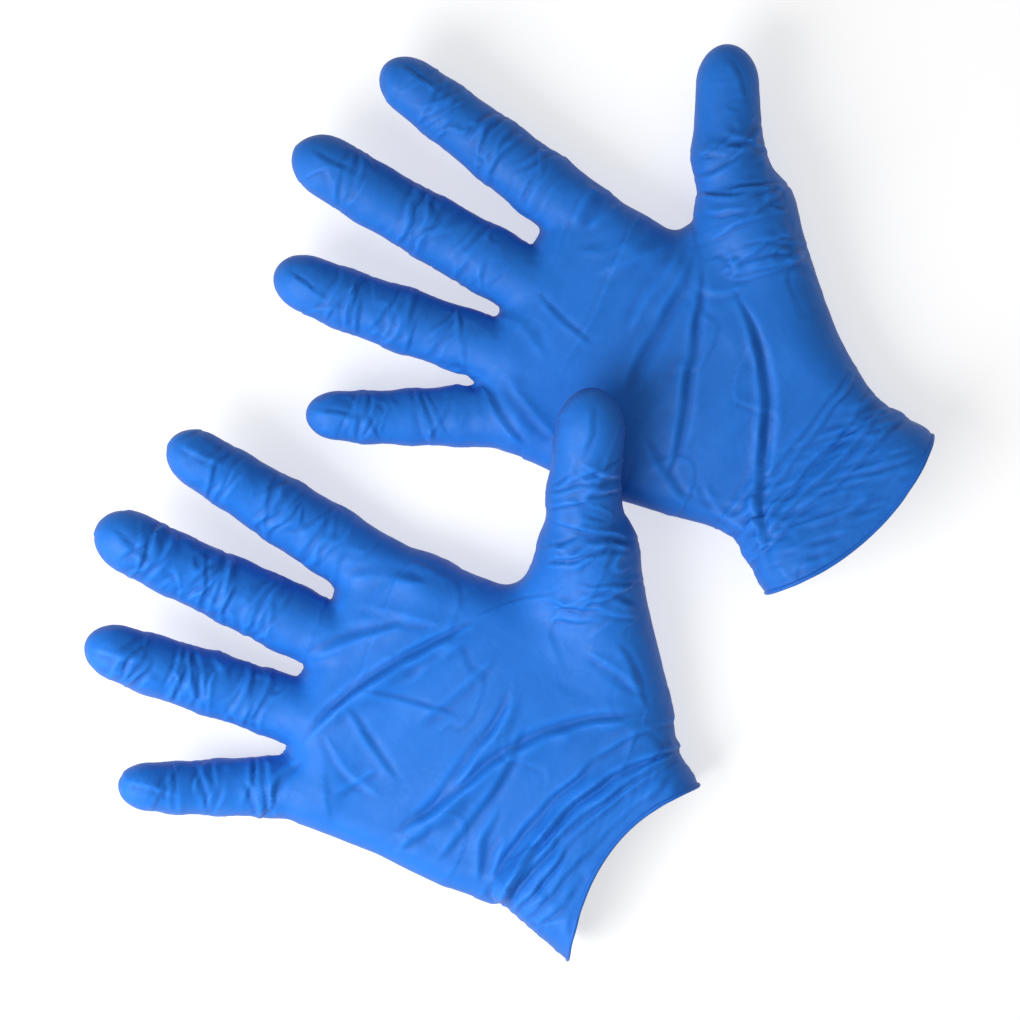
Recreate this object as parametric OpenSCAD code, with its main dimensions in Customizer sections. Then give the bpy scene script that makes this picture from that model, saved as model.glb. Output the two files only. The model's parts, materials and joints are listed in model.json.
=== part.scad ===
// A pair of thin disposable rubber gloves laid palm up on a flat surface, the lower
// glove's thumb resting over the edge of the upper glove's palm. Both gloves come from
// one mould, so they share every finger length and radius, and only their pose differs.
//
// Row frame: +Z up, the gloves rest on z = 0, fingers point along -X, cuffs along +X,
// thumbs towards +Y. The origin is the centre of the pair's box on the resting plane.
// Each glove is drawn about its own palm centre and then placed.

/* [Film] */
// Thickness of the film, thicker than the real 0.1 mm so that it is a sound solid
film = 0.6; // [0.4:0.1:1.2]
// Radius of the rolled bead at the cuff's edge
bead_r = 1.1; // [0.6:0.1:1.6]
// Gap left at each crease, between the two pieces that meet there
crease_gap = 0.6; // [0.3:0.1:1]

/* [Digits] */
// Index finger: lengths of its base, middle and tip, the tip up to its round end's centre
index_len = [20.2, 24.5, 14.9]; // [10:0.1:35]
// Middle finger: lengths of its base, middle and tip
middle_len = [23.1, 25.4, 19.3]; // [10:0.1:35]
// Ring finger: lengths of its base, middle and tip
ring_len = [22.1, 23.4, 14.7]; // [10:0.1:35]
// Little finger: lengths of its base, middle and tip
little_len = [18, 16.2, 11.6]; // [10:0.1:35]
// Thumb: lengths of its base and tip
thumb_len = [23, 26.3]; // [10:0.1:35]
// Index finger: radius at the knuckle, the two creases and the tip
index_r = [12.4, 11.8, 10.7, 9.3]; // [7:0.1:13]
// Middle finger: radius at the knuckle, the two creases and the tip
middle_r = [12.4, 11.8, 11.3, 9.8]; // [7:0.1:13]
// Ring finger: radius at the knuckle, the two creases and the tip
ring_r = [11.4, 11.4, 10.8, 9.1]; // [7:0.1:13]
// Little finger: radius at the knuckle, the two creases and the tip
little_r = [10.7, 10, 9.3, 7.7]; // [7:0.1:13]
// Thumb: radius at the knuckle, the crease and the tip
thumb_r = [16.2, 12.8, 10.3]; // [7:0.1:17]
// Length of each digit's round end, as a multiple of its radius
tip_stretch = 1.35; // [1:0.05:1.6]

/* [Bending] */
// Largest bend of a finger at its knuckle, from flat, in degrees
knuckle_bend = 60; // [20:5:60]
// Largest bend of a finger at its middle crease, from straight, in degrees
crease_bend = 70; // [20:5:75]
// Bend of the fingertip for each degree of the middle crease
tip_share = 0.6; // [0.3:0.1:0.7]
// Largest lift of the thumb at its knuckle, in degrees
thumb_lift = 35; // [10:5:45]
// Largest bend of the thumb at its crease, in degrees
thumb_bend = 55; // [10:5:60]
// Largest fold of the cuff at the wrist, in degrees
wrist_fold = 40; // [10:5:50]
// Room past each limit, in degrees
bend_slack = 4; // [2:1:6]

/* [Upper glove] */
// Palm centre of the upper glove in the row frame
upper_at = [8.5, 58.9]; // [-200:0.5:200]
// Index knuckle x and y from the palm centre, and the finger's heading in degrees
upper_index = [-52, 35.8, 175.2]; // [-60:0.1:230]
// Middle finger's knuckle and heading
upper_middle = [-54, 2.5, 182.8]; // [-60:0.1:230]
// Ring finger's knuckle and heading
upper_ring = [-47, -27, 193.1]; // [-60:0.1:230]
// Little finger's knuckle and heading
upper_little = [-33.3, -50.8, 212.8]; // [-60:0.1:230]
// Thumb knuckle x, y and height of its centre, and the headings of its base and tip
upper_thumb = [16.5, 64.8, 16.8, 139.5, 124.5]; // [0:0.1:230]
// Rise of each finger's base, then the extra rise at each crease, in degrees
upper_curl = [4, 6, 5]; // [0:1:20]
// Rise of the thumb, in degrees
upper_thumb_rise = 5; // [0:1:40]
// Cuff: length, half width and half height at its edge, swing in degrees, bulge of edge
upper_cuff_size = [20.3, 41.4, 18, 1.7, 9.5]; // [-20:0.1:60]

/* [Lower glove] */
// Palm centre of the lower glove in the row frame
lower_at = [8.5, -91.1]; // [-200:0.5:200]
// Index knuckle x and y from the palm centre, and the finger's heading in degrees
lower_index = [-48, 36.3, 179.8]; // [-60:0.1:230]
// Middle finger's knuckle and heading
lower_middle = [-46, 4.5, 186]; // [-60:0.1:230]
// Ring finger's knuckle and heading
lower_ring = [-37, -25.3, 193.2]; // [-60:0.1:230]
// Little finger's knuckle and heading
lower_little = [-21, -51.5, 211.3]; // [-60:0.1:230]
// Thumb knuckle x, y and height of its centre, and the headings of its base and tip
lower_thumb = [32, 81.8, 24, 127.5, 119.5]; // [0:0.1:230]
// Rise of each finger's base, then the extra rise at each crease, in degrees
lower_curl = [11, 11, 9]; // [0:1:20]
// Rise of the thumb, in degrees
lower_thumb_rise = 24; // [0:1:40]
// Cuff: length, half width and half height at its edge, swing in degrees, bulge of edge
lower_cuff_size = [25.6, 39.4, 16, 9.5, -13]; // [-20:0.1:60]

/* [Hidden] */

blue = "#2f74d0";
deep_blue = "#2460b4";

// Facet counts: exact round tubes, palm pads, and the loops of the cuff and bead
tube_fn = 48;
pad_fn = 20;
loop_steps = 48;
cuff_rows = 6;
bead_steps = 8;

digit_len = [index_len, middle_len, ring_len, little_len];
digit_r = [index_r, middle_r, ring_r, little_r];

// The palm is padded between an outer edge, under the little finger, and a thumb edge.
// Each station is [outer edge x, y, thumb edge x, y], and the last one is the wrist.
outer_pad_r = 11.5;
thumb_pad_r = 14;
wrist_pad_r = 13.5;
upper_stations = [
    [-12, -51.7, -14, 45], [20, -49, 12, 48], [48, -41.5, 40, 49],
    [66, -36, 66, 40.5], [75, -35, 95, 34]
];
lower_stations = [
    [-4, -56.5, -12, 51], [25, -51, 17, 56], [50, -48.5, 48, 58],
    [63, -45.5, 75, 50], [72, -42, 93, 40]
];

// The ball of the thumb: its web towards the index finger, its middle and its heel
upper_thenar = [[13, 38], [44, 34.5], [69, 28.5]];
lower_thenar = [[30, 52], [55, 48], [78, 42]];
thenar_r = [12, 14, 13];

// How far behind each knuckle the web between the fingers is padded
web_back = [20, 24, 20.5, 22];
web_r = 12.2;

// One glove's pose, as [place, knuckles, thumb, curl, thumb rise, stations, thenar, cuff]
upper = [
    upper_at, [upper_index, upper_middle, upper_ring, upper_little], upper_thumb,
    upper_curl, upper_thumb_rise, upper_stations, upper_thenar, upper_cuff_size
];
lower = [
    lower_at, [lower_index, lower_middle, lower_ring, lower_little], lower_thumb,
    lower_curl, lower_thumb_rise, lower_stations, lower_thenar, lower_cuff_size
];

// Field numbers of a glove's pose
PLACE = 0;
KNUCKLES = 1;
THUMB = 2;
CURL = 3;
THUMB_RISE = 4;
STATIONS = 5;
THENAR = 6;
CUFF = 7;

function heading_vec(heading, rise) = [
    cos(rise) * cos(heading), cos(rise) * sin(heading), sin(rise)
];

// Height of a pad's centre: its underside is pressed a little flat on z = 0
press = 0.4;
function rest_z(r) = r - press;

// Rise of finger segment k: the curls add up from the knuckle
function rise_at(curl, k) = k == 0 ? curl[0] : curl[k] + rise_at(curl, k - 1);

// Crease k of finger f in the glove's own frame; crease 0 is the knuckle
function crease_at(glove, f, k) =
    let (knuckle = glove[KNUCKLES][f])
    k == 0
        ? [knuckle[0], knuckle[1], digit_r[f][0]]
        : crease_at(glove, f, k - 1)
            + digit_len[f][k - 1] * heading_vec(knuckle[2], rise_at(glove[CURL], k - 1));

// Thumb crease k in the glove's own frame; 0 is the knuckle and 2 is the tip's centre
function thumb_at(glove, k) =
    k == 0
        ? [glove[THUMB][0], glove[THUMB][1], glove[THUMB][2]]
        : thumb_at(glove, k - 1)
            + thumb_len[k - 1] * heading_vec(glove[THUMB][2 + k], glove[THUMB_RISE]);

function last_station(glove) = glove[STATIONS][len(glove[STATIONS]) - 1];

// Wrist centre, skew from the Y direction and half width, from the last station
function wrist_at(glove) =
    let (s = last_station(glove))
    [(s[0] + s[2]) / 2, (s[1] + s[3]) / 2, wrist_pad_r];
function wrist_skew(glove) =
    let (s = last_station(glove))
    atan2(s[2] - s[0], s[3] - s[1]);
function wrist_half(glove) =
    let (s = last_station(glove))
    norm([s[2] - s[0], s[3] - s[1]]) / 2;

// ---- Shared shapes ----

// How far the cutting wedges reach past the film, and half of the back cut at the thumb
cut_reach = 3;
thumb_back = 3;

// Steps round the quarter ellipse of a digit's end
tip_steps = 8;

// Everything past one crease, to be cut away: flex opens the top and back the bottom
module past_crease(reach, flex, back) {
    rotate([90, 0, 0])
        linear_extrude(height = 2 * reach, center = true)
            polygon([
                [-crease_gap / 2, 0],
                [-crease_gap / 2 - reach * tan(flex), reach],
                [2 * reach, reach],
                [2 * reach, -reach],
                [-crease_gap / 2 - reach * tan(back), -reach]
            ]);
}

// A tapered tube of film along +X, open at both ends
module tube(r0, r1, length) {
    rotate([0, 90, 0])
        rotate_extrude($fn = tube_fn)
            polygon([[r0 - film, 0], [r0, 0], [r1, length], [r1 - film, length]]);
}

// A tapered tube of film along +X with a round closed end
module tip_tube(r0, r1, length) {
    rotate([0, 90, 0])
        rotate_extrude($fn = tube_fn)
            polygon(concat(
                [[r0 - film, 0], [r0, 0]],
                [for (i = [0:tip_steps]) let (a = 90 * i / tip_steps)
                    [r1 * cos(a), length + r1 * tip_stretch * sin(a)]],
                [for (i = [tip_steps:-1:0]) let (a = 90 * i / tip_steps, r = r1 - film)
                    [r * cos(a), length + (r1 * tip_stretch - film) * sin(a)]]
            ));
}

// Cuts at a segment's two ends. Each cut is [flex, back, roll], half of the crease's angle
module cut_ends(length, reach, near, far) {
    difference() {
        children();
        rotate([near[2], 0, 0]) mirror([1, 0, 0]) past_crease(reach, near[0], near[1]);
        if (far != undef)
            translate([length, 0, 0]) rotate([far[2], 0, 0])
                past_crease(reach, far[0], far[1]);
    }
}

// ---- Fingers ----

// Segment k of finger f: 0 is the base, 1 the middle and 2 the tip
module finger_segment(glove, f, k) {
    r = digit_r[f];
    length = digit_len[f][k];
    reach = r[k] + cut_reach;
    curl = glove[CURL];
    half_slack = bend_slack / 2;
    flex = [
        (knuckle_bend - curl[0]) / 2 + half_slack,
        crease_bend / 2 + half_slack,
        ((crease_bend - curl[1]) * tip_share + curl[2]) / 2 + half_slack
    ];
    back = [curl[0] / 2 + half_slack, half_slack, half_slack];
    near = [flex[k], back[k], 0];
    far = k < 2 ? [flex[k + 1], back[k + 1], 0] : undef;
    translate(concat(glove[PLACE], 0))
        translate(crease_at(glove, f, k))
            rotate([0, -rise_at(curl, k), glove[KNUCKLES][f][2]])
                cut_ends(length, reach, near, far)
                    if (k < 2) tube(r[k], r[k + 1], length);
                    else tip_tube(r[k], r[k + 1], length);
}

// ---- Thumb ----

// The thumb's crease bends sideways, towards the index finger
thumb_roll = -90;

module thumb_segment(glove, k) {
    length = thumb_len[k];
    turn = glove[THUMB][3] - glove[THUMB][4];
    half_slack = bend_slack / 2;
    knuckle_cut = [thumb_lift / 2 + half_slack, thumb_back + half_slack, 0];
    crease_cut = [thumb_bend / 2 + half_slack, turn / 2 + half_slack, thumb_roll];
    translate(concat(glove[PLACE], 0))
        translate(thumb_at(glove, k))
            rotate([0, -glove[THUMB_RISE], glove[THUMB][3 + k]])
                if (k == 0)
                    cut_ends(length, thumb_r[0] + cut_reach, knuckle_cut, crease_cut)
                        tube(thumb_r[0], thumb_r[1], length);
                else
                    cut_ends(length, thumb_r[1] + cut_reach, crease_cut, undef)
                        tip_tube(thumb_r[1], thumb_r[2], length);
}

// ---- Palm ----

module pad(x, y, r, inset, z = undef) {
    translate([x, y, z == undef ? rest_z(r) : z]) sphere(r = r - inset, $fn = pad_fn);
}

// The two pads of one station, moved in from its edges by their own radius
module station_pads(s, outer_r, thumb_r0, inset) {
    along = [s[2] - s[0], s[3] - s[1]] / norm([s[2] - s[0], s[3] - s[1]]);
    pad(s[0] + outer_r * along[0], s[1] + outer_r * along[1], outer_r, inset);
    pad(s[2] - thumb_r0 * along[0], s[3] - thumb_r0 * along[1], thumb_r0, inset);
}

// A point behind knuckle f, where the web between the fingers is padded
module web_pad(glove, f, inset) {
    k = glove[KNUCKLES][f];
    pad(k[0] - web_back[f] * cos(k[2]), k[1] - web_back[f] * sin(k[2]), web_r, inset);
}

// The palm's form, shrunk by inset: inset 0 is its outside and inset film its inside
module palm_form(glove, inset) {
    side = 400;
    intersection() {
        palm_pads(glove, inset);
        translate([-side / 2, -side / 2, inset]) cube([side, side, side]);
    }
}

// The pads of the palm, hulled together
module palm_pads(glove, inset) {
    stations = glove[STATIONS];
    last = len(stations) - 1;
    for (i = [0:last - 1])
        hull() {
            station_pads(stations[i], outer_pad_r, thumb_pad_r, inset);
            if (i + 1 < last)
                station_pads(stations[i + 1], outer_pad_r, thumb_pad_r, inset);
            else
                station_pads(stations[last], wrist_pad_r, wrist_pad_r, inset);
        }
    hull() {
        for (f = [0:3]) web_pad(glove, f, inset);
        station_pads(stations[0], outer_pad_r, thumb_pad_r, inset);
    }
    for (f = [0:3])
        hull() {
            web_pad(glove, f, inset);
            translate(crease_at(glove, f, 0)) sphere(r = digit_r[f][0] - inset, $fn = pad_fn);
        }
    thenar = glove[THENAR];
    for (i = [0:1])
        hull() {
            translate(thumb_at(glove, 0)) sphere(r = thumb_r[0] - inset, $fn = pad_fn);
            pad(thenar[i][0], thenar[i][1], thenar_r[i], inset);
            pad(thenar[i + 1][0], thenar[i + 1][1], thenar_r[i + 1], inset);
        }
}

// What the creases take off the palm: one cut for each finger, the thumb and the wrist
module palm_cuts(glove) {
    half_slack = bend_slack / 2;
    for (f = [0:3])
        translate(crease_at(glove, f, 0))
            rotate([0, -glove[CURL][0], glove[KNUCKLES][f][2]])
                past_crease(
                    digit_r[f][0] + cut_reach,
                    (knuckle_bend - glove[CURL][0]) / 2 + half_slack,
                    glove[CURL][0] / 2 + half_slack
                );
    translate(thumb_at(glove, 0))
        rotate([0, -glove[THUMB_RISE], glove[THUMB][3]])
            past_crease(
                thumb_r[0] + cut_reach,
                thumb_lift / 2 + half_slack,
                thumb_back + half_slack
            );
    translate(wrist_at(glove))
        rotate([0, 0, -wrist_skew(glove)])
            past_crease(
                wrist_half(glove) + cut_reach,
                wrist_fold / 2 + half_slack,
                half_slack
            );
}

module palm(glove) {
    translate(concat(glove[PLACE], 0))
        render()
            difference() {
                palm_form(glove, 0);
                palm_form(glove, film);
                palm_cuts(glove);
            }
}

// ---- Cuff ----

// One point of the cuff in the wrist's frame: v runs from the wrist to the edge, t goes
// round, inset moves the point inwards and back keeps it short of the edge
function cuff_point(glove, v, t, inset, back) =
    let (
        size = glove[CUFF],
        swing = size[3] * v,
        half_w = wrist_half(glove) + (size[1] - wrist_half(glove)) * v,
        half_h = wrist_pad_r + (size[2] - wrist_pad_r) * v,
        side = cos(t) >= 0 ? 1 : -1,
        across = side * (half_w - half_h) + (half_h - inset) * cos(t),
        z = half_h + (half_h - inset) * sin(t),
        over = z - wrist_pad_r,
        open = over > 0
            ? over * tan(wrist_fold / 2 + bend_slack / 2)
            : -over * tan(bend_slack / 2),
        bulge = size[4] * v * (1 - pow(across / half_w, 2)),
        along = (size[0] - back) * v + bulge + (1 - v) * (crease_gap / 2 + open)
    )
    [along - across * sin(swing), across * cos(swing), z];

module in_wrist_frame(glove) {
    translate(concat(glove[PLACE], 0))
        translate([wrist_at(glove)[0], wrist_at(glove)[1], 0])
            rotate([0, 0, -wrist_skew(glove)])
                children();
}

// How far short of the cuff's edge the film ends, which leaves a gap to the bead
film_back = 2 * bead_r + crease_gap;

module cuff(glove) {
    n = loop_steps;
    m = cuff_rows;
    function ring(row, inset) = [
        for (i = [0:n - 1]) cuff_point(glove, row / m, 360 * (i + 0.5) / n, inset, film_back)
    ];
    points = [
        for (row = [0:m]) each ring(row, 0),
        for (row = [m:-1:0]) each ring(row, film)
    ];
    rings = 2 * (m + 1);
    in_wrist_frame(glove)
        polyhedron(
            points = points,
            faces = [
                for (row = [0:rings - 1], i = [0:n - 1])
                    let (j = (i + 1) % n, next = (row + 1) % rings)
                    each [
                        [row * n + i, row * n + j, next * n + j],
                        [row * n + i, next * n + j, next * n + i]
                    ]
            ],
            convexity = 6
        );
}

module cuff_bead(glove) {
    n = loop_steps;
    centre = [for (i = [0:n - 1]) cuff_point(glove, 1, 360 * (i + 0.5) / n, bead_r, bead_r)];
    function around(i) =
        let (
            step = centre[(i + 1) % n] - centre[(i + n - 1) % n],
            ahead = step / norm(step),
            out = cross(ahead, [1, 0, 0]) / norm(cross(ahead, [1, 0, 0])),
            side = cross(out, ahead)
        )
        [for (k = [0:bead_steps - 1]) let (a = 360 * k / bead_steps)
            centre[i] + bead_r * (cos(a) * out + sin(a) * side)];
    in_wrist_frame(glove)
        polyhedron(
            points = [for (i = [0:n - 1]) each around(i)],
            faces = [
                for (i = [0:n - 1], k = [0:bead_steps - 1])
                    let (j = (i + 1) % n, l = (k + 1) % bead_steps)
                    each [
                        [i * bead_steps + k, j * bead_steps + l, j * bead_steps + k],
                        [i * bead_steps + k, i * bead_steps + l, j * bead_steps + l]
                    ]
            ],
            convexity = 6
        );
}

// ---- Sub-parts ----

INDEX = 0;
MIDDLE = 1;
RING = 2;
LITTLE = 3;

module upper_palm() { color(blue) palm(upper); }
module upper_cuff() { color(blue) cuff(upper); }
module upper_cuff_bead() { color(deep_blue) cuff_bead(upper); }
module upper_index_base() { color(blue) finger_segment(upper, INDEX, 0); }
module upper_index_middle() { color(blue) finger_segment(upper, INDEX, 1); }
module upper_index_tip() { color(blue) finger_segment(upper, INDEX, 2); }
module upper_middle_base() { color(blue) finger_segment(upper, MIDDLE, 0); }
module upper_middle_middle() { color(blue) finger_segment(upper, MIDDLE, 1); }
module upper_middle_tip() { color(blue) finger_segment(upper, MIDDLE, 2); }
module upper_ring_base() { color(blue) finger_segment(upper, RING, 0); }
module upper_ring_middle() { color(blue) finger_segment(upper, RING, 1); }
module upper_ring_tip() { color(blue) finger_segment(upper, RING, 2); }
module upper_little_base() { color(blue) finger_segment(upper, LITTLE, 0); }
module upper_little_middle() { color(blue) finger_segment(upper, LITTLE, 1); }
module upper_little_tip() { color(blue) finger_segment(upper, LITTLE, 2); }
module upper_thumb_base() { color(blue) thumb_segment(upper, 0); }
module upper_thumb_tip() { color(blue) thumb_segment(upper, 1); }

module lower_palm() { color(blue) palm(lower); }
module lower_cuff() { color(blue) cuff(lower); }
module lower_cuff_bead() { color(deep_blue) cuff_bead(lower); }
module lower_index_base() { color(blue) finger_segment(lower, INDEX, 0); }
module lower_index_middle() { color(blue) finger_segment(lower, INDEX, 1); }
module lower_index_tip() { color(blue) finger_segment(lower, INDEX, 2); }
module lower_middle_base() { color(blue) finger_segment(lower, MIDDLE, 0); }
module lower_middle_middle() { color(blue) finger_segment(lower, MIDDLE, 1); }
module lower_middle_tip() { color(blue) finger_segment(lower, MIDDLE, 2); }
module lower_ring_base() { color(blue) finger_segment(lower, RING, 0); }
module lower_ring_middle() { color(blue) finger_segment(lower, RING, 1); }
module lower_ring_tip() { color(blue) finger_segment(lower, RING, 2); }
module lower_little_base() { color(blue) finger_segment(lower, LITTLE, 0); }
module lower_little_middle() { color(blue) finger_segment(lower, LITTLE, 1); }
module lower_little_tip() { color(blue) finger_segment(lower, LITTLE, 2); }
module lower_thumb_base() { color(blue) thumb_segment(lower, 0); }
module lower_thumb_tip() { color(blue) thumb_segment(lower, 1); }

upper_palm();
upper_cuff();
upper_cuff_bead();
upper_index_base();
upper_index_middle();
upper_index_tip();
upper_middle_base();
upper_middle_middle();
upper_middle_tip();
upper_ring_base();
upper_ring_middle();
upper_ring_tip();
upper_little_base();
upper_little_middle();
upper_little_tip();
upper_thumb_base();
upper_thumb_tip();
lower_palm();
lower_cuff();
lower_cuff_bead();
lower_index_base();
lower_index_middle();
lower_index_tip();
lower_middle_base();
lower_middle_middle();
lower_middle_tip();
lower_ring_base();
lower_ring_middle();
lower_ring_tip();
lower_little_base();
lower_little_middle();
lower_little_tip();
lower_thumb_base();
lower_thumb_tip();
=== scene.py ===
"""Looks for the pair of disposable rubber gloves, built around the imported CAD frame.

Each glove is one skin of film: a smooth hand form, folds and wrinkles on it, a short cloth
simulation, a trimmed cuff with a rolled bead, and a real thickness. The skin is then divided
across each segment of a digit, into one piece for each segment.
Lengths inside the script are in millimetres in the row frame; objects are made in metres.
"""
import json
import math

import bpy
import numpy as np
from mathutils import Matrix, Vector
from mathutils.kdtree import KDTree


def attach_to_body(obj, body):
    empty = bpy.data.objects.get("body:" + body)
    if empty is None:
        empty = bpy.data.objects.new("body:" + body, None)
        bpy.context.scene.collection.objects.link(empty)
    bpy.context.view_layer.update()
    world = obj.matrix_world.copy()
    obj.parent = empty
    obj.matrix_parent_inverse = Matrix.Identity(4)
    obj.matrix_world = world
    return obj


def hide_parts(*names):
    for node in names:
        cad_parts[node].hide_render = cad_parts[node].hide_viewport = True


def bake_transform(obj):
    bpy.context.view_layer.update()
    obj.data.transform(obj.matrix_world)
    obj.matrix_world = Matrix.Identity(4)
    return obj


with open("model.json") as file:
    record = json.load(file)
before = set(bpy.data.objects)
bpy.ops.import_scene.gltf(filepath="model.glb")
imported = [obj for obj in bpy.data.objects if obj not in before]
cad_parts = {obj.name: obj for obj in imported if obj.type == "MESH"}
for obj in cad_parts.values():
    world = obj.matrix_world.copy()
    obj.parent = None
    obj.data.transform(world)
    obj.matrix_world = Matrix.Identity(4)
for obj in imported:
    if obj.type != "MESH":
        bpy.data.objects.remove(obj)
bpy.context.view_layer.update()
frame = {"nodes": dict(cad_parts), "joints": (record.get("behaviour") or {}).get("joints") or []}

MM = 0.001

# ---------------------------------------------------------------- driving dimensions

VOXEL = 0.95     # size of the skin's mesh cells
BLOCK = 2.4                             # cell of the first rough form
ROUGH_INSET = 1.0                       # how far inside the form the rough form stays
FILM = 0.22                             # drawn thickness of the film
BEAD_R = 0.8                            # radius of the rolled bead
FINGERS = ("index", "middle", "ring", "little")
SEGMENTS = ("base", "middle", "tip")
OUTER_PAD = 11.5                        # edge radius under the little finger
THUMB_PAD = 14.0                        # edge radius on the thumb side
WRIST_PAD = 13.5
WEB_PAD = 12.2
PRESS = 0.4                             # how far the pads are pressed flat on the floor
TIP_STRETCH = 1.35                      # length of a digit's round end over its radius
THENAR_RADII = (12.0, 14.0, 13.0)       # ball of the thumb: at its web, middle and heel
THENAR_STEPS = (0.0, 0.5)               # places along each stretch of the ball of the thumb
CUFF_STATIONS = (0.5, 1.0, 2.0)         # as shares of the cuff's length; 2 runs past its edge
WRIST_ZONE = 11.0                       # half length of the bend at the wrist
ROOT_ZONE = {                           # how far behind its knuckle each digit starts to bend
    "index": 6.5, "middle": 8.0, "ring": 5.0, "little": 5.5, "thumb": 7.0,
}
# How far from a digit's own tube its skin reaches, and where each segment is cut, along it
OWN_REACH = {"index": 7, "middle": 7, "ring": 7, "little": 7, "thumb": 14}
CUT_SHARE = {"index": 0.5, "middle": 0.5, "ring": 0.5, "little": 0.5, "thumb": 0.75}
THUMB_ROOT_TURN = -34                   # turn of the thumb's root from its axis, in degrees
FLOOR_GAP = 0.02                        # lowest that the skin and bead lie above z = 0

# How softly neighbouring forms run into each other
FAN_SOFT = 5
SEGMENT_SOFT = 2
FINGER_SOFT = 2.5
THUMB_SEGMENT_SOFT = 3
BALL_SOFT = 4
THUMB_SOFT = 9

# Palm outline of each glove about its palm centre, as in the CAD: stations of
# [outer edge x, y, thumb edge x, y], the ball of the thumb, and the cuff's
# [length, half width, half height, swing in degrees, bulge of its edge]
SHAPES = {
    "upper": {
        "stations": [
            (-12, -51.7, -14, 45), (20, -49, 12, 48), (48, -41.5, 40, 49),
            (66, -36, 66, 40.5), (75, -35, 95, 34),
        ],
        "thenar": [(13, 38), (44, 34.5), (69, 28.5)],
        "web_back": (20, 24, 20.5, 22),
        "cuff": (20.3, 41.4, 18, 1.7, 9.5),
    },
    "lower": {
        "stations": [
            (-4, -56.5, -12, 51), (25, -51, 17, 56), (50, -48.5, 48, 58),
            (63, -45.5, 75, 50), (72, -42, 93, 40),
        ],
        "thenar": [(30, 52), (55, 48), (78, 42)],
        "web_back": (20, 24, 20.5, 22),
        "cuff": (25.6, 39.4, 16, 9.5, -13),
    },
}

JOINTS = {j["name"]: j for j in frame["joints"]}


# ---------------------------------------------------------------- small helpers

def unit(v):
    v = np.asarray(v, float)
    return v / np.linalg.norm(v)


def smooth(x, lo, hi):
    """0 below lo, 1 above hi, smooth between them."""
    t = np.clip((x - lo) / (hi - lo), 0, 1)
    return t * t * (3 - 2 * t)


def joint_at(name):
    return np.array(JOINTS[name]["pos_m"], float) / MM


def node_points(node):
    co = np.empty(len(frame["nodes"][node].data.vertices) * 3, np.float32)
    frame["nodes"][node].data.vertices.foreach_get("co", co)
    return co.reshape(-1, 3).astype(float) / MM


def hash_grid(i, j, k, seed):
    """A repeatable pseudo-random number in -1..1 for each integer lattice point."""
    h = (i * 374761393 + j * 668265263 + k * 1274126177 + seed * 1442695041) & 0xFFFFFFFF
    h = ((h ^ (h >> 13)) * 1274126177) & 0xFFFFFFFF
    return ((h ^ (h >> 16)) & 0xFFFF) / 32767.5 - 1.0


def noise(p, scale, seed):
    """Smooth value noise in -1..1 at points p, with cells of the given size (one or three)."""
    q = p / np.asarray(scale, float)
    base = np.floor(q).astype(np.int64)
    f = q - base
    f = f * f * f * (f * (f * 6 - 15) + 10)
    out = np.zeros(len(p))
    for corner in range(8):
        d = ((corner >> 2) & 1, (corner >> 1) & 1, corner & 1)
        weight = np.ones(len(p))
        for axis in range(3):
            weight = weight * (f[:, axis] if d[axis] else 1 - f[:, axis])
        out += weight * hash_grid(base[:, 0] + d[0], base[:, 1] + d[1], base[:, 2] + d[2], seed)
    return out


# ---------------------------------------------------------------- the hand form

class Digit:
    """A finger or thumb: its creases from the joints, its radii and end from the CAD."""

    def __init__(self, glove, name):
        self.name = name
        prefix = glove + "_" + name
        if name == "thumb":
            self.nodes = [prefix + "_base", prefix + "_tip"]
            self.points = [joint_at(prefix + "_knuckle"), joint_at(prefix + "_crease")]
        else:
            self.nodes = [prefix + "_" + s for s in SEGMENTS]
            self.points = [
                joint_at(prefix + "_knuckle"), joint_at(prefix + "_crease"),
                joint_at(prefix + "_tip_crease"),
            ]
        self.radii = []
        for k, node in enumerate(self.nodes):
            cloud = node_points(node) - self.points[k]
            if k + 1 < len(self.points):
                ahead = unit(self.points[k + 1] - self.points[k])
            else:
                ahead = self.tip_direction(cloud)
            along = cloud @ ahead
            off = np.linalg.norm(cloud - np.outer(along, ahead), axis=1)
            self.radii.append(off.max())
            if k + 1 == len(self.points):
                reach = along.max()
                tip_r = off[(along > reach - 13) & (along < reach - 7)].max()
                self.points.append(self.points[k] + ahead * (reach - TIP_STRETCH * tip_r))
                self.radii.append(tip_r)
        self.ahead = [
            unit(b - a) for a, b in zip(self.points[:-1], self.points[1:])
        ]

    @staticmethod
    def tip_direction(cloud):
        """The axis of a round-ended tube that starts at the origin."""
        ahead = unit(cloud.mean(0))
        for _ in range(6):
            along = cloud @ ahead
            ring = cloud[along > along.max() * 0.45]
            ahead = unit((ring.min(0) + ring.max(0)) / 2 + ahead * 1e-6)
            ahead = unit(ahead)
        return ahead


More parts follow.
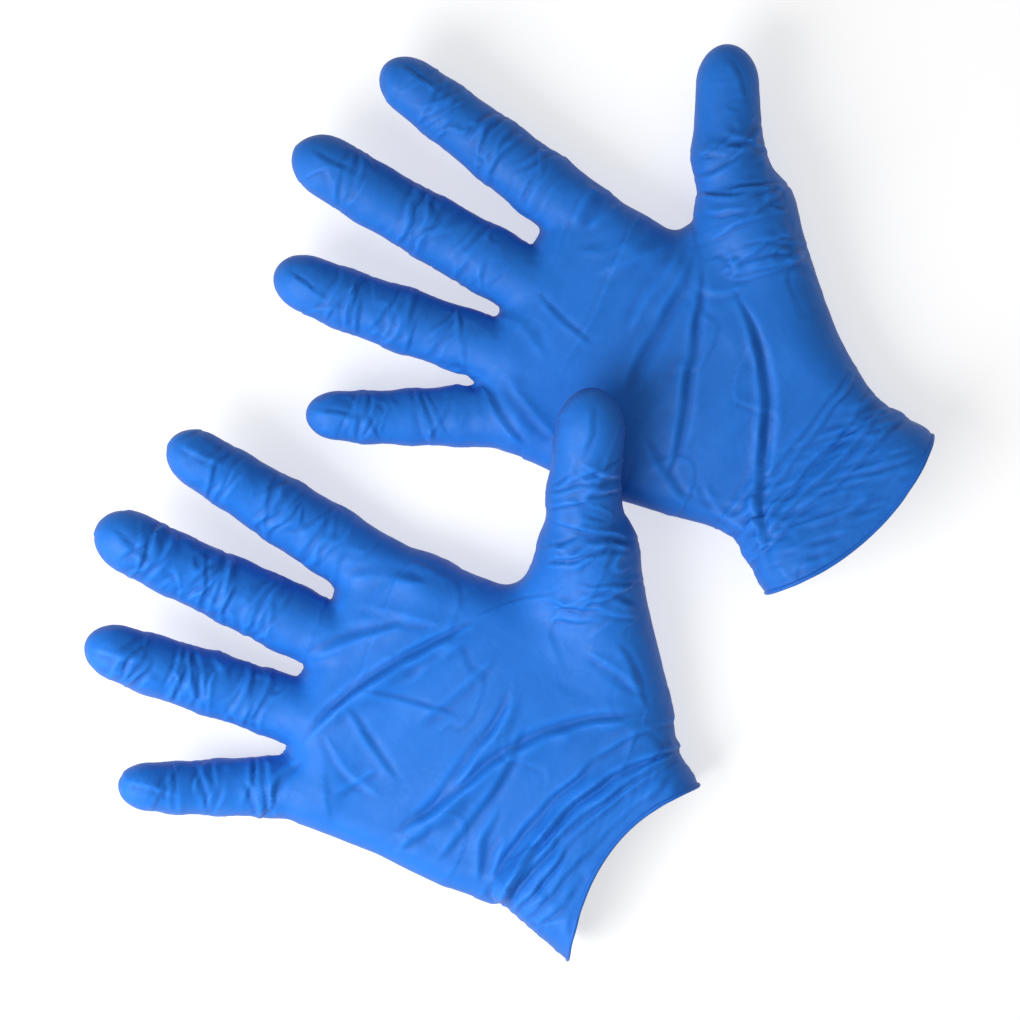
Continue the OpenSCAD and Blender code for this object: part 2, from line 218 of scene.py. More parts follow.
class Glove:
    def __init__(self, name):
        self.name = name
        shape = SHAPES[name]
        last = shape["stations"][-1]
        middle = np.array([(last[0] + last[2]) / 2, (last[1] + last[3]) / 2])
        self.wrist = joint_at(name + "_wrist")
        self.place = self.wrist[:2] - middle
        self.stations = [
            (np.array(s[:2]) + self.place, np.array(s[2:]) + self.place)
            for s in shape["stations"]
        ]
        self.across = unit(list(self.stations[-1][1] - self.stations[-1][0]) + [0])
        self.out = np.array([self.across[1], -self.across[0], 0.0])
        self.wrist_half = np.linalg.norm(self.stations[-1][1] - self.stations[-1][0]) / 2
        self.cuff = shape["cuff"]
        self.thenar = [np.array(p) + self.place for p in shape["thenar"]]
        self.digits = {n: Digit(name, n) for n in FINGERS + ("thumb",)}
        self.webs = []
        for n, back in zip(FINGERS, shape["web_back"]):
            d = self.digits[n]
            flat = unit([d.ahead[0][0], d.ahead[0][1], 0])
            p = d.points[0] - back * flat
            self.webs.append(np.array([p[0], p[1], WEB_PAD - PRESS]))

    # -- cuff coordinates: along the arm from the wrist, across it, and up

    def cuff_coords(self, p):
        q = p - self.wrist
        return q @ self.out, q @ self.across

    def edge_at(self, across):
        """How far from the wrist the cuff's edge lies, at a place across it."""
        length, half, _, swing, bulge = self.cuff
        s = np.clip(across / half, -1.15, 1.15)
        return length + bulge * (1 - s ** 2) - across * math.tan(math.radians(swing))


def capsule(p, a, b, ra, rb):
    ab = b - a
    t = np.clip(((p - a) @ ab) / (ab @ ab), 0, 1)
    return np.linalg.norm(p - (a + t[:, None] * ab), axis=1) - (ra + (rb - ra) * t)


def round_end(p, digit):
    """Distance to the half ellipsoid that closes a digit; far away behind its centre."""
    q = p - digit.points[-1]
    along = q @ digit.ahead[-1]
    off2 = (q ** 2).sum(1) - along ** 2
    d = np.sqrt((along / TIP_STRETCH) ** 2 + np.maximum(off2, 0)) - digit.radii[-1]
    return np.where(along > 0, d, 99.0)


def soft_min(a, b, k):
    h = np.maximum(k - np.abs(a - b), 0) / k
    return np.minimum(a, b) - h * h * k * 0.25


def plate(p, s0, s1, radii0, radii1):
    """A padded plate between two stations, each a pair of pad centres with radii."""
    (a0, b0), (a1, b1) = s0, s1
    xy = p[:, :2]
    n0 = unit([(b0 - a0)[1], -(b0 - a0)[0]])
    n1 = unit([(b1 - a1)[1], -(b1 - a1)[0]])
    d0 = (xy - a0) @ n0
    d1 = (xy - a1) @ n1
    t = np.clip(d0 / np.maximum(d0 - d1, 1e-3), 0, 1)
    t = np.where(d0 <= 0, 0, np.where(d1 >= 0, 1, t))[:, None]
    a = a0 + t * (a1 - a0)
    b = b0 + t * (b1 - b0)
    ab = b - a
    s = np.clip(((xy - a) * ab).sum(1) / (ab * ab).sum(1), 0, 1)
    ra = radii0[0] + t[:, 0] * (radii1[0] - radii0[0])
    rb = radii0[1] + t[:, 0] * (radii1[1] - radii0[1])
    r = ra + s * (rb - ra)
    c = a + s[:, None] * ab
    return np.sqrt(((xy - c) ** 2).sum(1) + (p[:, 2] - (r - PRESS)) ** 2) - r


def pads(station, ra, rb):
    a, b = station
    along = (b - a) / np.linalg.norm(b - a)
    return a + ra * along, b - rb * along


def cuff_station(glove, v):
    """Pads and radii of the cuff at v of its length; past 1 it runs on beyond the edge."""
    length, half, high, swing, _ = glove.cuff
    r = WRIST_PAD + (high - WRIST_PAD) * min(v, 1.2)
    w = glove.wrist_half + (half - glove.wrist_half) * min(v, 1.2)
    turn = math.radians(swing * min(v, 1.2))
    across = glove.across[:2] * math.cos(turn) - glove.out[:2] * math.sin(turn)
    middle = glove.wrist[:2] + glove.out[:2] * length * v
    return (middle - across * (w - r), middle + across * (w - r)), (r, r)


def hand_distance(glove, p):
    """Signed distance to the glove's smooth form, before any folds."""
    rows = []
    for i, station in enumerate(glove.stations):
        if i + 1 < len(glove.stations):
            rows.append((pads(station, OUTER_PAD, THUMB_PAD), (OUTER_PAD, THUMB_PAD)))
        else:
            rows.append((pads(station, WRIST_PAD, WRIST_PAD), (WRIST_PAD, WRIST_PAD)))
    for v in CUFF_STATIONS:
        rows.append(cuff_station(glove, v))
    d = None
    for (s0, r0), (s1, r1) in zip(rows[:-1], rows[1:]):
        e = plate(p, s0, s1, r0, r1)
        d = e if d is None else np.minimum(d, e)
    # the knuckle fan: from the webs back to the first station
    (a, b), _ = rows[0]
    front = [
        np.array([a[0], a[1], OUTER_PAD - PRESS]), np.array([b[0], b[1], THUMB_PAD - PRESS]),
    ]
    fan = None
    for i in range(3):
        w0, w1 = glove.webs[i], glove.webs[i + 1]
        f0 = front[1] + (front[0] - front[1]) * i / 3
        f1 = front[1] + (front[0] - front[1]) * (i + 1) / 3
        front_radii = (f1[2] + PRESS, f0[2] + PRESS)
        e = plate(p, (w1[:2], w0[:2]), (f1[:2], f0[:2]), (WEB_PAD, WEB_PAD), front_radii)
        fan = e if fan is None else np.minimum(fan, e)
    d = soft_min(d, fan, FAN_SOFT)
    # fingers
    for i, name in enumerate(FINGERS):
        g = glove.digits[name]
        e = capsule(p, glove.webs[i], g.points[0], WEB_PAD, g.radii[0])
        for k in range(3):
            segment = capsule(p, g.points[k], g.points[k + 1], g.radii[k], g.radii[k + 1])
            e = soft_min(e, segment, SEGMENT_SOFT)
        e = np.minimum(e, round_end(p, g))
        d = soft_min(d, e, FINGER_SOFT)
    # thumb and its ball
    g = glove.digits["thumb"]
    e = capsule(p, g.points[0], g.points[1], g.radii[0], g.radii[1])
    end = capsule(p, g.points[1], g.points[2], g.radii[1], g.radii[2])
    e = soft_min(e, end, THUMB_SEGMENT_SOFT)
    e = np.minimum(e, round_end(p, g))
    fan_points = []
    for i in range(2):
        for t in THENAR_STEPS:
            xy = glove.thenar[i] + (glove.thenar[i + 1] - glove.thenar[i]) * t
            r = THENAR_RADII[i] + (THENAR_RADII[i + 1] - THENAR_RADII[i]) * t
            fan_points.append((xy, r))
    fan_points.append((glove.thenar[2], THENAR_RADII[2]))
    for xy, r in fan_points:
        q = np.array([xy[0], xy[1], r - PRESS])
        e = soft_min(e, capsule(p, g.points[0], q, g.radii[0], r), BALL_SOFT)
    return soft_min(d, e, THUMB_SOFT)


def rough_mesh(glove):
    """A blocky closed mesh round the form, for the voxel remesh to start from."""
    every = np.concatenate([node_points(n) for n in frame["nodes"] if n.startswith(glove.name)])
    lo = every.min(0) - 4 * BLOCK
    hi = every.max(0) + 4 * BLOCK
    shape = np.ceil((hi - lo) / BLOCK).astype(int) + 1
    grid = np.stack(np.meshgrid(*[np.arange(n) for n in shape], indexing="ij"), -1)
    p = lo + grid.reshape(-1, 3) * BLOCK
    inside = (hand_distance(glove, p) < -ROUGH_INSET).reshape(shape)
    inside[-1] = False
    verts, faces = [], []
    index = {}
    corner_sets = {
        0: ((0, 0, 0), (0, 1, 0), (0, 1, 1), (0, 0, 1)),
        1: ((0, 0, 0), (0, 0, 1), (1, 0, 1), (1, 0, 0)),
        2: ((0, 0, 0), (1, 0, 0), (1, 1, 0), (0, 1, 0)),
    }
    for axis in range(3):
        change = np.diff(inside.astype(np.int8), axis=axis)
        for cell in np.argwhere(change != 0):
            sign = change[tuple(cell)]
            base = cell.copy()
            base[axis] += 1
            quad = []
            for c in corner_sets[axis]:
                key = tuple(base + np.array(c))
                if key not in index:
                    index[key] = len(verts)
                    verts.append(lo + (np.array(key) - 0.5) * BLOCK)
                quad.append(index[key])
            faces.append(quad if sign < 0 else quad[::-1])
    return np.array(verts), faces


def remeshed(name, verts, faces, voxel):
    """Voxel remesh of a closed mesh, as arrays of points and quads."""
    mesh = bpy.data.meshes.new(name)
    mesh.from_pydata((verts * MM).tolist(), [], faces)
    obj = bpy.data.objects.new(name, mesh)
    bpy.context.scene.collection.objects.link(obj)
    mod = obj.modifiers.new("remesh", "REMESH")
    mod.mode = "VOXEL"
    mod.voxel_size = voxel * MM
    done = bpy.data.meshes.new_from_object(obj.evaluated_get(bpy.context.evaluated_depsgraph_get()))
    bpy.data.objects.remove(obj)
    bpy.data.meshes.remove(mesh)
    co = np.empty(len(done.vertices) * 3, np.float32)
    done.vertices.foreach_get("co", co)
    quads = np.array([list(p.vertices) for p in done.polygons if len(p.vertices) == 4])
    bpy.data.meshes.remove(done)
    return co.reshape(-1, 3).astype(float) / MM, quads


class Net:
    """Points and quads with the neighbour sums needed for smoothing and normals."""

    def __init__(self, points, quads):
        self.points = points
        self.quads = quads
        edges = np.concatenate([quads[:, [i, (i + 1) % 4]] for i in range(4)])
        edges.sort(axis=1)
        self.edges = np.unique(edges, axis=0)
        n = len(points)
        self.degree = np.bincount(self.edges.ravel(), minlength=n).astype(float)

    def neighbour_mean(self, values):
        a, b = self.edges[:, 0], self.edges[:, 1]
        n = len(self.points)
        if values.ndim == 1:
            total = np.bincount(a, values[b], n) + np.bincount(b, values[a], n)
            return total / self.degree
        return np.stack([self.neighbour_mean(values[:, c]) for c in range(values.shape[1])], 1)

    def normals(self, points=None):
        p = self.points if points is None else points
        q = self.quads
        cross = np.cross(p[q[:, 2]] - p[q[:, 0]], p[q[:, 3]] - p[q[:, 1]])
        n = np.zeros_like(p)
        for c in range(3):
            for k in range(4):
                n[:, c] += np.bincount(q[:, k], cross[:, c], len(p))
        return n / np.maximum(np.linalg.norm(n, axis=1), 1e-9)[:, None]


def settle_on_form(glove, net, rounds):
    """Evens the mesh out and puts its points on the form's surface."""
    step = 0.05
    for _ in range(rounds):
        for _ in range(3):
            net.points += 0.6 * (net.neighbour_mean(net.points) - net.points)
        for _ in range(2):
            d = hand_distance(glove, net.points)
            grad = np.stack([
                hand_distance(glove, net.points + step * np.eye(3)[c]) - d for c in range(3)
            ], 1) / step
            length = np.maximum((grad ** 2).sum(1), 0.25)
            net.points -= np.clip(d / length, -2.5, 2.5)[:, None] * grad


# ---------------------------------------------------------------- folds in the film

def curve_through(points, steps=14):
    """A smooth curve through a few points (Catmull-Rom), as a dense line."""
    q = np.array(points, float)
    q = np.concatenate([[2 * q[0] - q[1]], q, [2 * q[-1] - q[-2]]])
    line = []
    for i in range(1, len(q) - 2):
        for t in np.arange(steps) / steps:
            a, b, c, d = q[i - 1:i + 3]
            line.append(0.5 * (2 * b + (c - a) * t + (2 * a - 5 * b + 4 * c - d) * t ** 2
                               + (3 * b - a - 3 * c + d) * t ** 3))
    line.append(q[-2])
    return np.array(line)


def along_curve(xy, line):
    """Signed distance to a line, and how far along it (0..1) the nearest place is."""
    seg = line[1:] - line[:-1]
    length = np.linalg.norm(seg, axis=1)
    best = np.full(len(xy), 1e9)
    side = np.zeros(len(xy))
    share = np.zeros(len(xy))
    done = 0.0
    for a, s, l in zip(line[:-1], seg, length):
        t = np.clip(((xy - a) @ s) / (l * l), 0, 1)
        off = xy - (a + t[:, None] * s)
        d = np.linalg.norm(off, axis=1)
        nearer = d < best
        best = np.where(nearer, d, best)
        turn = s[0] * off[:, 1] - s[1] * off[:, 0]
        side = np.where(nearer, np.sign(turn), side)
        share = np.where(nearer, (done + t * l), share)
        done += l
    return best * side, share / done


def ridge(d, width, lean):
    """Cross-section of a fold: a crest, steep on the side it leans to, and its valley."""
    steep = width * (1 - 0.5 * abs(lean))
    slack = width * (1 + 1.6 * abs(lean))
    x = d if lean >= 0 else -d
    front = np.exp(-(np.abs(x) / steep) ** 1.7)
    back = np.exp(-(np.abs(x) / slack) ** 1.2)
    crest = np.where(x > 0, front, back)
    valley = np.exp(-((x - 2.0 * steep) / (1.2 * steep)) ** 2)
    return crest - 0.5 * valley


def taper(t):
    """Fades a fold in and out over the first and last quarter of its length."""
    return smooth(t, 0, 0.25) * (1 - smooth(t, 0.75, 1))


def fold_field(glove, p, top, folds):
    """Height of the listed folds at points p. Each fold is (points, height, width, lean)."""
    xy = p[:, :2] - glove.place
    total = np.zeros(len(p))
    wander = noise(p, 9, 31)
    for points, height, width, lean in folds:
        line = curve_through(points)
        lo, hi = line.min(0) - 4 * width - 2, line.max(0) + 4 * width + 2
        near = np.all((xy > lo) & (xy < hi), axis=1) & (top > 0.02)
        if not near.any():
            continue
        d, t = along_curve(xy[near], line)
        d = d + 0.5 * wander[near]
        w = width * (0.65 + 0.5 * np.sin(np.pi * np.clip(t, 0, 1)))
        total[near] += FOLD_GAIN * height * ridge(d, w, lean) * taper(t) * (1 + 0.35 * wander[near])
    return total * top


FOLD_GAIN = 1.25        # strength of all the palm folds together

# Main folds of each palm: points about the palm centre, in millimetres,
# then height, width and lean
PALM_FOLDS = {
    "upper": [
        ([(9, 44), (16, 30), (26, 8), (36, -14), (43, -34)], 1.5, 2.0, 0.9),
        ([(22, 40), (40, 28), (56, 10), (70, -16), (82, -32), (93, -44)], 1.9, 2.3, 0.9),
        ([(6, 42), (8, 22), (9, 2), (12, -18)], 1.2, 2.6, 0.6),
        ([(4, 46), (2, 24), (3, 4)], 0.7, 2.4, -0.6),
        ([(0, 44), (-10, 30), (-20, 18)], 0.8, 3.0, 0.3),
        ([(-9, 46), (-12, 36), (-20, 26), (-30, 20)], 0.6, 2.6, -0.4),
        ([(-33, 46), (-36, 38), (-34, 28)], 1.0, 2.4, 0.4),
        ([(-24, 46), (-27, 38), (-30, 30)], 0.8, 2.0, -0.4),
        ([(-34, 1), (-20, -3), (-4, -5)], 0.6, 1.3, 0.8),
        ([(-34, -35), (-20, -44), (-6, -48)], 0.9, 1.6, 0.6),
        ([(-30, -28), (-14, -34), (4, -40)], 0.6, 2.0, -0.5),
        ([(-44, -14), (-30, -12), (-16, -18)], 0.5, 2.2, 0.4),
        ([(30, 44), (22, 36), (12, 34)], 0.5, 1.4, 0.3),
        ([(44, -34), (58, -34), (74, -28)], 0.8, 2.0, 0.5),
        ([(52, -24), (64, -30), (78, -30)], 0.6, 1.6, -0.5),
        ([(24, -22), (40, -30), (54, -36)], 0.7, 1.8, 0.5),
        ([(-2, -44), (8, -34), (24, -30)], 0.5, 1.6, 0.3),
    ],
    "lower": [
        ([(-18, -34), (-15, -18), (-9, 0), (0, 18), (9, 34), (14, 44)], 1.8, 2.1, 0.9),
        ([(31, -40), (38, -20), (44, -2), (54, 16), (68, 32), (82, 44)], 1.9, 2.4, 0.9),
        ([(26, -44), (35, -26), (37, -4), (38, 16), (34, 32)], 1.3, 2.0, 0.7),
        ([(44, -44), (46, -22), (47, 0), (44, 22)], 0.8, 1.8, -0.5),
        ([(24, 36), (19, 18), (12, -4)], 0.6, 2.2, 0.4),
        ([(14, 38), (7, 20), (0, 4)], 0.5, 1.8, -0.3),
        ([(-16, -34), (-20, -44), (-19, -54)], 1.1, 1.8, 0.6),
        ([(-14, -10), (2, -18), (20, -26)], 0.5, 1.5, 0.5),
        ([(-16, -22), (0, -30), (18, -32)], 0.45, 1.4, -0.4),
        ([(-14, -4), (6, 2), (26, 8)], 0.35, 1.2, 0.6),
        ([(52, -10), (54, -26), (62, -42)], 0.8, 1.7, 0.5),
        ([(60, -18), (64, -32), (72, -44)], 0.8, 1.5, -0.5),
        ([(36, -30), (30, -44)], 0.7, 1.6, 0.4),
        ([(10, -22), (0, -40)], 0.5, 1.5, 0.4),
        ([(26, 76), (38, 84), (46, 90)], 0.6, 1.4, 0.5),
        ([(36, 66), (48, 72), (58, 74)], 0.5, 1.4, 0.5),
        ([(48, 52), (62, 52), (78, 50)], 0.6, 1.6, -0.4),
        ([(56, 60), (66, 54), (80, 44)], 0.6, 1.5, 0.4),
        ([(-40, 26), (-24, 36), (-8, 42)], 0.8, 2.4, 0.5),
        ([(-34, -6), (-24, 8), (-8, 26)], 0.9, 2.2, 0.5),
        ([(-30, 22), (-14, 28), (4, 34)], 0.4, 1.8, -0.3),
    ],
}

# Gathers at the wrist: offset from the wrist line, at the outer side, middle and thumb
# side, then height and width
WRIST_GATHERS = {
    "upper": [
        ((-8, -12, -20), 0.8, 1.2), ((-3, -8, -16), 0.9, 1.1), ((2, -2, -6), 0.9, 1.2),
        ((6, 3, 0), 0.9, 1.1), ((9, 8, 6), 0.7, 1.1),
    ],
    "lower": [
        ((2, -9, 3), 3.2, 1.9), ((-1, -3, 5), 2.4, 1.6), ((6, 1, 7), 1.3, 1.3),
        ((10, 7, 9), 0.7, 1.4), ((-8, -16, -8), 1.5, 1.7), ((14, 13, 12), 0.4, 1.5),
    ],
}


def wrist_gathers(glove, p):
    along, across = glove.cuff_coords(p)
    s = across / glove.wrist_half
    wander = noise(p, 10, 47)
    total = np.zeros(len(p))
    for (a, b, c), height, width in WRIST_GATHERS[glove.name]:
        centre = b + (c - a) / 2 * s + ((a + c) / 2 - b) * s ** 2 + 1.2 * wander
        total += height * ridge(along - centre, width, 0.9) * (0.75 + 0.5 * wander)
    # long fine creases that run from the cuff's edge towards the hand
    slant = along - 0.45 * across * np.sign(glove.cuff[4])
    fine = noise(np.stack([slant, across, p[:, 2]], 1), (3.4, 14, 12), 53)
    fine2 = noise(np.stack([slant, across, p[:, 2]], 1), (2.0, 9, 9), 54)
    fine_share = {"upper": 1.2, "lower": 0.5}[glove.name]
    fine_height = 0.8 * (0.5 - np.abs(fine)) + 0.35 * fine2
    total += fine_share * fine_height * smooth(along, -16, -4)
    total += 0.6 * crease_lines(along, across, p[:, 2], 6, 57) * smooth(along, -16, -6)
    total *= 1 - 0.65 * smooth(np.abs(s), 0.85, 1.0)
    edge = smooth(along - glove.edge_at(across), -5, -0.5)
    return total * smooth(along, -26, -12) * (1 - 0.75 * edge)


# Where each digit's film gathers: millimetres along it from the knuckle, height, spread
GATHERS = {
    "upper": {
        "index": ((6, 0.6, 8), (24, 1.1, 9), (46, 0.5, 9)),
        "middle": ((6, 0.6, 7), (28, 1.0, 9), (58, 0.6, 9)),
        "ring": ((4, 0.6, 8), (24, 1.0, 9), (44, 1.0, 8)),
        "little": ((12, 0.6, 8), (34, 0.6, 8)),
        "thumb": ((-16, 0.8, 9), (4, 1.1, 9), (24, 1.0, 8)),
    },
    "lower": {
        "index": ((4, 0.5, 9), (24, 0.8, 9), (46, 0.7, 9)),
        "middle": ((8, 0.8, 9), (30, 1.1, 10), (54, 1.0, 9)),
        "ring": ((6, 0.9, 9), (28, 1.1, 10), (50, 0.8, 8)),
        "little": ((2, 1.0, 7), (20, 0.7, 8), (36, 0.6, 7)),
        "thumb": ((-18, 0.9, 9), (2, 1.0, 9), (24, 1.1, 9)),
    },
}
FAN_CREASES = 6


def crease_fan(u, s, at, height, spread, wander, rng):
    """Creases that run in from both sides of a digit, spread out, bend and cross."""
    total = np.zeros(len(u))
    for i in range(FAN_CREASES):
        meet = 1 if i % 2 else -1
        place = (2 * i / (FAN_CREASES - 1) - 1) * spread
        slant = rng.uniform(-4.5, 4.5)
        bow = rng.uniform(-3, 3)
        centre = at + place * (0.65 + 0.35 * meet * s) + slant * s + bow * s ** 2
        lean = rng.choice((-1, 1)) * rng.uniform(0.3, 0.8)
        width = rng.uniform(0.8, 1.15)
        end = rng.uniform(-0.2, 0.9)
        run = 1 - smooth(meet * s, end - 0.6, end + 0.3)
        total += rng.uniform(0.5, 1.1) * run * ridge(u - centre - 1.1 * wander, width, lean)
    return height * total


def end_pinch(u, s, end, wander, rng):
    """A slack crease along a digit's end, where the film's tip stands off the finger."""
    line = rng.uniform(-0.35, 0.35) + rng.uniform(-0.3, 0.3) * (u - end) / 10
    run = smooth(u, end - 12, end - 2)
    return 0.55 * run * ridge(9 * (s - line) - 0.7 * wander, 0.95, rng.choice((-0.7, 0.7)))


def crease_lines(u, v, w, cell, seed):
    """Sparse sharp creases in two slanting families, with smooth film between them."""
    total = np.zeros(len(u))
    for turn in (26, -22):
        a = math.radians(turn)
        along = u * math.cos(a) + v * math.sin(a)
        across = -u * math.sin(a) + v * math.cos(a)
        n = noise(np.stack([along, across, w], 1), (cell, 2.4 * cell, 2.4 * cell), seed + turn)
        gate = smooth(noise(np.stack([u, v, w], 1), 3 * cell, seed + turn + 7), -0.1, 0.5)
        total += gate * ridge(0.8 * cell * n, 0.9, 0.5)
    return total


def digit_folds(glove, p, rng):
    """Fans of creases where each digit's film gathers, and sparse creases between."""
    total = np.zeros(len(p))
    for number, (name, g) in enumerate(glove.digits.items()):
        parts = len(g.points) - 1
        reach = np.min([
            capsule(p, g.points[k], g.points[k + 1], g.radii[k], g.radii[k + 1])
            for k in range(parts)
        ], axis=0)
        heel = 34 if name == "thumb" else 14
        flat = unit([g.ahead[0][0], g.ahead[0][1], 0])
        side = np.array([-flat[1], flat[0], 0])
        u = (p - g.points[0]) @ flat
        mine = smooth(u, -heel, -heel + 9)
        if name == "thumb":
            back = capsule(p, g.points[0], g.points[0] - 34 * flat, g.radii[0], 10)
            mine *= smooth(-np.minimum(reach, back), -9, -5)
        else:
            mine *= smooth(-reach, -7, -4)
        near = mine > 0.01
        q = p[near]
        u = u[near]
        bend = [(pt - g.points[0]) @ side for pt in g.points]
        mid = [(pt - g.points[0]) @ flat for pt in g.points]
        v = (q - g.points[0]) @ side - np.interp(u, mid, bend)
        r = np.interp(u, mid, g.radii)
        s = np.clip(v / r, -1.2, 1.2)
        wander = noise(q, 7, 61 + number)
        height = np.zeros(len(q))
        strength = np.full(len(q), 0.2)
        for at, high, spread in GATHERS[glove.name][name]:
            height += crease_fan(u, s, at, high, spread, wander, rng)
            strength += 0.45 * high * np.exp(-((u - at) / (1.4 * spread)) ** 2)
        seed = 100 + 40 * number + (500 if glove.name == "lower" else 0)
        height += strength * crease_lines(u, v, q[:, 2], 4.6, seed)
        height += end_pinch(u, s, mid[-1], wander, rng)
        height *= 1 - 0.8 * smooth(np.abs(s), 0.68, 1.0)
        height *= 1 - smooth(u, mid[-1] + 4, mid[-1] + 11)
        total[near] += mine[near] * height
    return total


def skin_noise(glove, p):
    """Slight unevenness of the film everywhere, and faint long creases on the palm."""
    wide = noise(p, 22, 11)
    mid = noise(p, 9, 12)
    along, across = glove.cuff_coords(p)
    creases = crease_lines(along, across, p[:, 2], 11, 13)
    return 0.45 * wide + 0.14 * mid + 0.3 * creases


def fold_heights(glove, net):
    rng = np.random.default_rng({"upper": 11, "lower": 23}[glove.name])
    p = net.points
    normal = net.normals()
    top = smooth(normal[:, 2], -0.15, 0.35)
    height = skin_noise(glove, p)
    height += fold_field(glove, p, top, PALM_FOLDS[glove.name])
    height += wrist_gathers(glove, p)
    height += digit_folds(glove, p, rng)
    return height


def add_folds(glove, net):
    """Raises the folds on the smooth form, then adds how a simulated film settles on it."""
    net.points += net.normals() * fold_heights(glove, net)[:, None]
    net.points += settled_movement(glove, net.points)
    lift = FLOOR_GAP + 0.05 * np.abs(noise(net.points, 4, 3))
    net.points[:, 2] = np.maximum(net.points[:, 2], lift)
    return net


# ---------------------------------------------------------------- cloth simulation

SIM_VOXEL = 2.2         # cell of the simulated film, coarser than the skin
HAND_VOXEL = 3.4        # cell of the hand that it settles on
SIM_SCALE = 0.01        # the film is simulated ten times life size, in metres
SIM_FRAMES = 12
HAND_GAP = 0.7          # how far under the smooth form the hand inside it lies
EXTRA = 1.45            # how much taller the folds are in the film's rest shape
MOVE_CAP = 3.0          # furthest that a point may settle


def form_net(glove, voxel, rounds):
    """The glove's smooth form as an even mesh with cells of the given size."""
    verts, faces = rough_mesh(glove)
    net = Net(*remeshed("form_" + glove.name, verts, faces, voxel))
    settle_on_form(glove, net, rounds)
    return net


def settled_movement(glove, places):
    """How far the simulated film moves near each of the given places."""
    film = trim_cuff(glove, form_net(glove, SIM_VOXEL, 3))
    normal = film.normals()
    height = fold_heights(glove, film)[:, None]
    rest = film.points + EXTRA * height * normal
    start = film.points + height * normal
    hand = form_net(glove, HAND_VOXEL, 2)
    hand.points -= HAND_GAP * hand.normals()
    along, across = glove.cuff_coords(film.points)
    hold = 0.04 + 0.96 * smooth(along - glove.edge_at(across), -4, -1.5)
    film.points = start
    moved = drape(film, rest, hand, hold) - start
    far = np.linalg.norm(moved, axis=1)
    moved *= np.minimum(1, MOVE_CAP / np.maximum(far, 1e-6))[:, None]
    for _ in range(2):
        moved = 0.5 * moved + 0.5 * film.neighbour_mean(moved)
    return carried_over(start, moved, places)


def carried_over(points, values, places):
    """Values at new places, as the mean of the four nearest points weighed by nearness."""
    tree = KDTree(len(points))
    for number, point in enumerate(points.tolist()):
        tree.insert(point, number)
    tree.balance()
    found = [tree.find_n(place, 4) for place in places.tolist()]
    index = np.array([[hit[1] for hit in hits] for hits in found])
    weight = 1 / (0.2 + np.array([[hit[2] for hit in hits] for hits in found])) ** 2
    weight /= weight.sum(1)[:, None]
    return (values[index] * weight[:, :, None]).sum(1)


def to_mesh_object(name, points, faces):
    mesh = bpy.data.meshes.new(name)
    mesh.from_pydata((points * SIM_SCALE).tolist(), [], faces.tolist())
    obj = bpy.data.objects.new(name, mesh)
    bpy.context.scene.collection.objects.link(obj)
    return obj


def drape(net, rest, hand, hold):
    """Lets the film settle over the hand: it has the lengths of rest, and buckles."""
    film = to_mesh_object("sim_film", net.points, net.quads)
    film.shape_key_add(name="start")
    key = film.shape_key_add(name="lengths")
    key.data.foreach_set("co", (rest * SIM_SCALE).ravel())
    key.value = 0.0
    group = film.vertex_groups.new(name="hold")
    levels = np.round(hold * 20).astype(int)
    for level in np.unique(levels):
        group.add(np.flatnonzero(levels == level).tolist(), float(level) / 20, "REPLACE")
    body = to_mesh_object("sim_hand", hand.points, hand.quads)
    body.modifiers.new("collision", "COLLISION")
    body.collision.thickness_outer = 0.004
    body.collision.thickness_inner = 0.1
    body.collision.cloth_friction = 20
    cloth = film.modifiers.new("cloth", "CLOTH")
    c = cloth.settings
    c.quality = 4
    c.mass = 0.08
    c.air_damping = 3
    c.tension_stiffness = 60
    c.compression_stiffness = 60
    c.shear_stiffness = 20
    c.bending_stiffness = 0.6
    c.tension_damping = 8
    c.compression_damping = 8
    c.shear_damping = 8
    c.rest_shape_key = key
    c.vertex_group_mass = "hold"
    c.pin_stiffness = 1.0
    c.effector_weights.gravity = 0.15
    cloth.collision_settings.use_collision = True
    cloth.collision_settings.distance_min = 0.004
    cloth.collision_settings.collision_quality = 2
    cloth.point_cache.frame_start = 1
    cloth.point_cache.frame_end = SIM_FRAMES
    scene = bpy.context.scene
    for frame_number in range(1, SIM_FRAMES + 1):
        scene.frame_set(frame_number)
    done = bpy.data.meshes.new_from_object(film.evaluated_get(bpy.context.evaluated_depsgraph_get()))
    co = np.empty(len(done.vertices) * 3, np.float32)
    done.vertices.foreach_get("co", co)
    settled = co.reshape(-1, 3).astype(float) / SIM_SCALE
    for obj in (film, body):
        mesh = obj.data
        bpy.data.objects.remove(obj)
        bpy.data.meshes.remove(mesh)
    bpy.data.meshes.remove(done)
    scene.frame_set(1)
    return settled


# ---------------------------------------------------------------- trimming the cuff

def trim_cuff(glove, net):
    """Cuts the form off along the cuff's edge and returns a new net with an even border."""
    along, across = glove.cuff_coords(net.points)
    over = along - glove.edge_at(across)
    centre_over = over[net.quads].mean(1)
    keep = net.quads[centre_over < 0]
    used = np.unique(keep)
    renumber = -np.ones(len(net.points), int)
    renumber[used] = np.arange(len(used))
    cut = Net(net.points[used], renumber[keep])
    border = border_points(cut)
    edge = np.zeros(len(cut.points), bool)
    edge[border] = True
    for _ in range(4):
        along, across = glove.cuff_coords(cut.points)
        over = along - glove.edge_at(across)
        cut.points[edge] -= over[edge][:, None] * glove.out
        relaxed = cut.neighbour_mean(cut.points)
        near = (over > -4) & ~edge
        cut.points[near] += 0.5 * (relaxed - cut.points)[near]
    return cut


